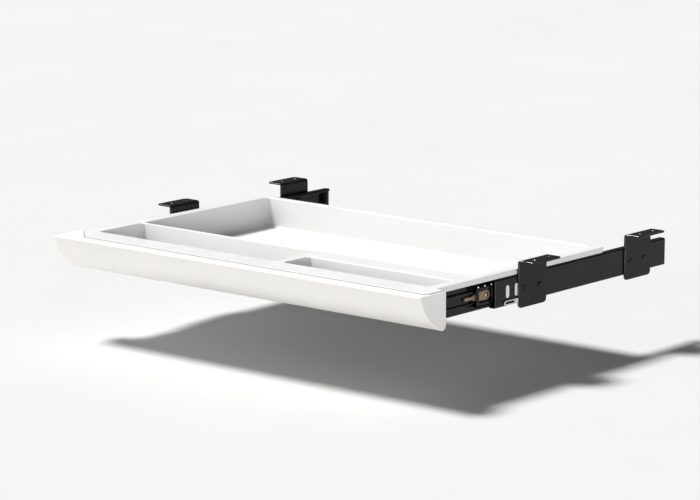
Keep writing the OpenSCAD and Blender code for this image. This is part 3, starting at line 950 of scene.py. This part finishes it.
def build_hanger(side, mirrored, end):
    """A hanger: plate with a bent top flange. The front one carries a small slotted tab."""
    front_y = box_mm(f"{side}_{end}_hanger")[0].y
    centre = -HANGER_Y if end == "front" else HANGER_Y
    sheet_t, bend, desk_hole_r = 2.0, 2.4, 2.5
    plate_u, height, reach = SLIDE_T + sheet_t / 2, -HANGER_LOW.z, HANGER_HIGH.x - SIDE_X
    path = BentPath([(plate_u, -height), (plate_u, -sheet_t / 2), (reach, -sheet_t / 2)], bend)
    y0, y1 = centre - HANGER_L / 2, centre + HANGER_L / 2
    total = path.length
    corners, radii = rectangle(0, y0, total, y1), [5, 5, 5, 5]
    hole_s = total - (reach - (HALF_W - SIDE_X))
    screw_s = height + SLIDE_Z
    holes = []
    for k in (-1, 1):
        holes.append(circle((hole_s, centre + k * HOLE_PITCH / 2), desk_hole_r))
        holes.append(circle((screw_s, centre + k * HOLE_PITCH / 2), SCREW_R))
    if end == "front":
        tab_s, tab_half = screw_s - 13.2, 3
        corners = [(tab_s - tab_half, front_y), (tab_s - tab_half, y0), (0, y0), (0, y1), (total, y1),
                   (total, y0), (tab_s + tab_half, y0), (tab_s + tab_half, front_y)]
        radii = [2.9, 1.2, 6, 5, 5, 5, 1.2, 2.9]
        holes.append(stadium((tab_s, front_y + 11.5), 2.6, 18))

    def place(point, y):
        return (SIDE_X + point.x, y, point.y)

    materials = [HANGER_STEEL, EDGE_WEAR_AND_HIGHLIGHT, ZINC_STRIP]
    hanger = bent_sheet(f"{side}_{end}_bracket", path, sheet_t, rounded(corners, radii, 6), holes, place,
                        materials, mirrored, edge=0.25)
    for face in hanger.data.polygons:
        if face.center.y < (y0 - 1) * MM:
            face.material_index = materials.index(ZINC_STRIP)
    settle(hanger, "desk_side", "black_steel", f"{side}_{end}_hanger")


def build_side_screws(side, mirrored):
    """The screws from the hangers into the outer rail, and from the inner rail into the tray."""
    sign = -1 if mirrored else 1
    hanger_t, shank_l = 2, 3.2
    seat = sign * (SIDE_X + SLIDE_T + hanger_t)
    made = [screw("hanger_screw", (seat, y, SLIDE_Z), (sign, 0, 0), shank_l, [BLACK_SCREW])
            for y in hanger_screw_places()]
    screws = merge(made, f"{side}_hanger_screw_set")
    settle(screws, "desk_side", "black_screws", f"{side}_hanger_screws", weighted=False)
    seat, shank_l = sign * (SIDE_X + STEEL), STEEL + PLATE_T + WALL
    made = [screw("rail_screw", (seat, INNER_LOW.y + y, SLIDE_Z), (sign, 0, 0), shank_l, [ZINC_SCREW])
            for y in RAIL_SCREW_Y]
    screws = merge(made, f"{side}_rail_screw_set")
    settle(screws, "drawer", "zinc_screws", f"{side}_rail_screws", weighted=False)


def build_buffer(side, mirrored):
    """The white buffer in the outer rail's front end, with a tab through each slot."""
    low, high = box_mm("right_front_buffer")
    half = 9.6
    block = rounded(rectangle(low.y, SLIDE_Z - half, high.y, SLIDE_Z + half), 1.5, 4)
    inner = SIDE_X + SLIDE_T - STEEL
    buffer = prism(f"{side}_cage_stop", block, round_ends(low.x, inner, 0.5), "x", [NYLON], mirrored)
    levels = [(inner - 0.6, 0), (high.x - 0.35, 0), (high.x - 0.1, 0.1), (high.x, 0.4)]
    tabs = []
    for y in SLOT_Y:
        tab = stadium((OUTER_LOW.y + y, SLIDE_Z), 6.4, 15.9)
        tabs.append(prism("tab", tab, levels, "x", [NYLON], mirrored))
    buffer = merge([buffer] + tabs, f"{side}_cage_stop")
    settle(buffer, "desk_side", "white_nylon", f"{side}_front_buffer")


def build_bumper(side, mirrored):
    """The rubber stop in the outer rail's rear end."""
    low, high = box_mm("right_rear_bumper")
    block = rounded(rectangle(low.x, low.z, high.x, high.z), 1.5, 4)
    bumper = prism(f"{side}_shut_stop", block, round_ends(low.y, high.y, 0.8), "y", [RUBBER], mirrored)
    settle(bumper, "desk_side", "rubber", f"{side}_rear_bumper")


def build_lever(side, mirrored):
    """The release lever, with a round eye at its pivot and a thumb tab, and the rivet it rocks on."""
    low, high = box_mm("right_release_lever")
    pivot = INNER_LOW.y + LEVER_Y
    tip, tab, waist = pivot - 42, pivot - 30, pivot - 21
    eye_r, waist_half, neck_half, tip_half = 6.2, 4.8, 1.4, 2
    outline = [(pivot, eye_r), (waist, waist_half), (tab, neck_half), (tab - 1.5, tip_half), (tip, tip_half)]
    outline = outline + [(y, -z) for y, z in reversed(outline)]
    radii = [0, 3, 1, 0.8, 0.8, 0.8, 0.8, 1, 3, 0]
    outline = [(y, SLIDE_Z + z) for y, z in rounded(outline, radii, 4)]
    eye = arc((pivot, SLIDE_Z), eye_r, -90, 90, 14)[1:-1]
    lever = prism(f"{side}_thumb_lever", outline + eye, round_ends(low.x, high.x, 0.4), "x", [LEVER_PLASTIC],
                  mirrored)
    through = [(low.x - 1, 0), (high.x + 1, 0)]
    bore = prism("bore", circle((pivot, SLIDE_Z), 2.05), through, "x", [LEVER_PLASTIC], mirrored)
    combine(lever, [bore], "DIFFERENCE")
    settle(lever, f"{side}_lever", "lever_plastic", f"{side}_release_lever")

    head, shank_r, head_r, collar_end = high.x + 0.1 - SIDE_X, 2, 3, 1.7
    profile = [(0, shank_r), (STEEL, shank_r), (STEEL, head_r), (collar_end, head_r), (collar_end, shank_r),
               (head, shank_r), (head, head_r), (head + 0.3, 2.8), (head + 0.55, 2), (head + 0.6, 0.02)]
    rivet = new_piece(f"{side}_rivet", *lathe(profile, (SIDE_X, pivot, SLIDE_Z), "x"), [ZINC_SCREW],
                      mirrored=mirrored)
    settle(rivet, "drawer", "zinc_screws", f"{side}_lever_rivet")


build_tray()
build_lip()
build_lip_screws()
OUTER_RACE = dict(u_open=4.7, u_web=10.7, v=14.25, thickness=0.8, ball_u=7.7, ball_r=2.0)
INNER_RACE = dict(u_open=1.3, u_web=5.8, v=9.3, thickness=0.6, ball_u=3.5, ball_r=1.6)
for side, mirrored in (("right", False), ("left", True)):
    build_outer_rail(side, mirrored)
    build_middle_rail(side, mirrored)
    build_inner_rail(side, mirrored)
    build_side_plate(side, mirrored)
    build_race(side, mirrored, "outer", **OUTER_RACE)
    build_race(side, mirrored, "inner", **INNER_RACE)
    for end in ("front", "rear"):
        build_hanger(side, mirrored, end)
    build_side_screws(side, mirrored)
    build_buffer(side, mirrored)
    build_bumper(side, mirrored)
    build_lever(side, mirrored)


# ---------------------------------------------------------------- stage, lights and camera

def build_stage():
    """A plain pale floor a little way under the drawer."""
    half, z = 14.0, -0.15
    corners = [(-half, -half, z), (half, -half, z), (half, half, z), (-half, half, z)]
    mesh = bpy.data.meshes.new("floor")
    mesh.from_pydata(corners, [], [(0, 1, 2, 3)])
    floor = bpy.data.objects.new("floor", mesh)
    bpy.context.scene.collection.objects.link(floor)
    material, principled = shader("floor_paper", (0.62, 0.62, 0.624), 0.9)
    n = Nodes(material)
    n.link(n.ramp(n.noise(3.0), [(0.3, (0.61, 0.61, 0.614)), (0.7, (0.63, 0.63, 0.634))]),
           principled.inputs["Base Color"])
    mesh.materials.append(material)


def sun(name, towards, energy, angle, colour=(1, 1, 1)):
    """A distant light that shines towards a direction. angle is how wide its disc is, in degrees."""
    data = bpy.data.lights.new(name, "SUN")
    data.energy, data.angle, data.color = energy, math.radians(angle), colour
    light = bpy.data.objects.new(name, data)
    light.rotation_euler = Vector(towards).to_track_quat("-Z", "Y").to_euler()
    bpy.context.scene.collection.objects.link(light)


def build_lights():
    """A soft key from the upper left, two fills from the front and one from the right, in a white room."""
    sun("key", (0.42, 0.2, -0.885), 4.6, 14, (1, 0.995, 0.985))
    sun("front_fill", (0.2, 0.85, -0.42), 0.5, 60)
    sun("low_fill", (0.22, 0.96, -0.14), 0.52, 12, (1, 0.975, 0.93))
    sun("right_fill", (-1, 0.3, -0.012), 1.25, 6)
    world = bpy.data.worlds.new("studio")
    world.use_nodes = True
    background = world.node_tree.nodes["Background"]
    background.inputs["Color"].default_value = (1, 1, 1, 1)
    background.inputs["Strength"].default_value = 0.1
    bpy.context.scene.world = world
    bpy.context.scene.view_settings.view_transform = "Standard"


def build_camera():
    """The photograph's viewpoint: to the right of the drawer, in front of it and a little above."""
    data = bpy.data.cameras.new("camera")
    data.lens = 166
    data.clip_start, data.clip_end = 0.1, 60.0
    camera = bpy.data.objects.new("camera", data)
    camera.location = (2.592, -3.191, 0.76)
    aim = Vector((-0.01, -0.10, -0.03))
    camera.rotation_euler = (aim - camera.location).to_track_quat("-Z", "Y").to_euler()
    bpy.context.scene.collection.objects.link(camera)
    bpy.context.scene.camera = camera


build_stage()
build_lights()
build_camera()
